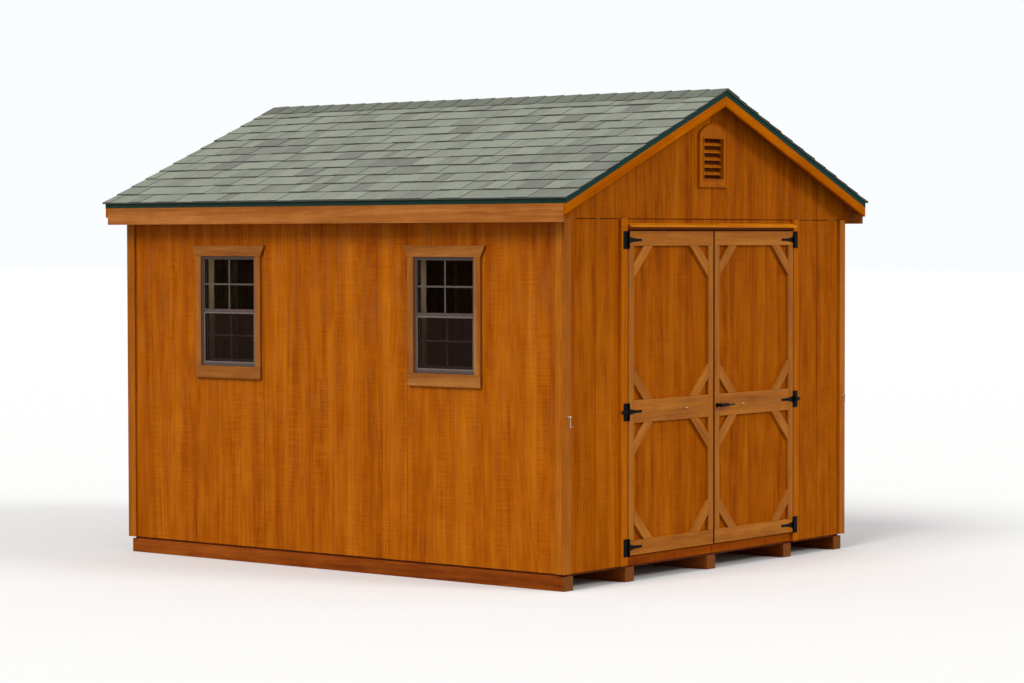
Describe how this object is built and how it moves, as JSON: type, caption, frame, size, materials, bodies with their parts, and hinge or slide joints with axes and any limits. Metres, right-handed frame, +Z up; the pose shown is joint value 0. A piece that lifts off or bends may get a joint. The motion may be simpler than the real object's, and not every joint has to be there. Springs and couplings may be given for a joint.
{
  "type": "gabled storage shed",
  "caption": "Wooden garden storage shed with a gabled shingle roof, a pair of braced outward-opening doors, side windows and a louvred gable vent, on timber skids",
  "frame": {"origin": "centre of the footprint of the whole shed with its roof overhangs, on the ground plane under the skids", "axes": "+Z up, +Y along the ridge from the door gable at -Y to the back gable, +X to the right when facing the doors; the windows are in the -X wall"},
  "size_m": [3.3276, 3.9096, 3.0323],
  "materials": {
    "treated_timber": "rough stained",
    "framing_lumber": "planed",
    "boards": "raw",
    "stained_siding": "rough sawn, stained",
    "stained_trim": "semi-gloss stain",
    "shingles": "granular",
    "green_metal": "satin",
    "bronze_frame": "satin",
    "window_glass": "clear",
    "insect_screen": "matt",
    "black_iron": "satin",
    "bright_steel": "bright"
  },
  "bodies": {
    "shed": {"skids": "treated_timber", "floor_frame": "framing_lumber", "floor_deck": "boards", "left_wall_siding": "stained_siding", "right_wall_siding": "stained_siding", "back_wall_siding": "stained_siding", "front_siding_left": "stained_siding", "front_siding_right": "stained_siding", "front_siding_over_door": "stained_siding", "front_siding_under_doors": "stained_siding", "front_gable_siding": "stained_siding", "back_gable_siding": "stained_siding", "left_wall_studs": "framing_lumber", "right_wall_studs": "framing_lumber", "back_wall_studs": "framing_lumber", "front_studs_left": "framing_lumber", "front_studs_right": "framing_lumber", "front_header": "framing_lumber", "rafters": "framing_lumber", "ridge_board": "framing_lumber", "roof_deck": "boards", "roof_shingles": "shingles", "ridge_cap": "shingles", "eave_drip_edges": "green_metal", "rake_drip_edges": "green_metal", "fascias": "stained_trim", "rake_boards": "stained_trim", "soffits": "stained_siding", "corner_boards": "stained_trim", "door_casings": "stained_trim", "door_drip_cap": "stained_trim", "window_frames": "bronze_frame", "window_sashes": "bronze_frame", "window_glass": "window_glass", "window_screens": "insect_screen", "window_trim": "stained_trim", "gable_vents": "stained_trim", "hinge_pads": "black_iron", "hold_back_eyes": "bright_steel"},
    "left_door": {"left_door_panel": "stained_siding", "left_door_trim": "stained_trim", "left_door_straps": "black_iron", "left_door_eye": "bright_steel"},
    "right_door": {"right_door_panel": "stained_siding", "right_door_trim": "stained_trim", "right_door_straps": "black_iron", "right_door_eye": "bright_steel", "right_handle_rose": "black_iron"},
    "handle": {"door_handle": "black_iron"},
    "left_hook_body": {"left_hook": "bright_steel"},
    "right_hook_body": {"right_hook": "bright_steel"}
  },
  "joints": [
    {"name": "left_door_hinge", "type": "hinge", "parent": "shed", "child": "left_door", "pos_m": [-0.9105, -1.855, 1.038], "axis": [0, 0, -1], "range_deg": [0, 170]},
    {"name": "right_door_hinge", "type": "hinge", "parent": "shed", "child": "right_door", "pos_m": [0.9105, -1.855, 1.038], "axis": [0, 0, 1], "range_deg": [0, 170]},
    {"name": "handle_turn", "type": "hinge", "parent": "right_door", "child": "handle", "pos_m": [0.0335, -1.866, 1.038], "axis": [0, 1, 0], "range_deg": [0, 90]},
    {"name": "left_hook_lift", "type": "hinge", "parent": "shed", "child": "left_hook_body", "pos_m": [-1.51125, -1.868, 1.038], "axis": [-1, 0, 0], "range_deg": [0, 90]},
    {"name": "right_hook_lift", "type": "hinge", "parent": "shed", "child": "right_hook_body", "pos_m": [1.51125, -1.868, 1.038], "axis": [-1, 0, 0], "range_deg": [0, 90]}
  ]
}
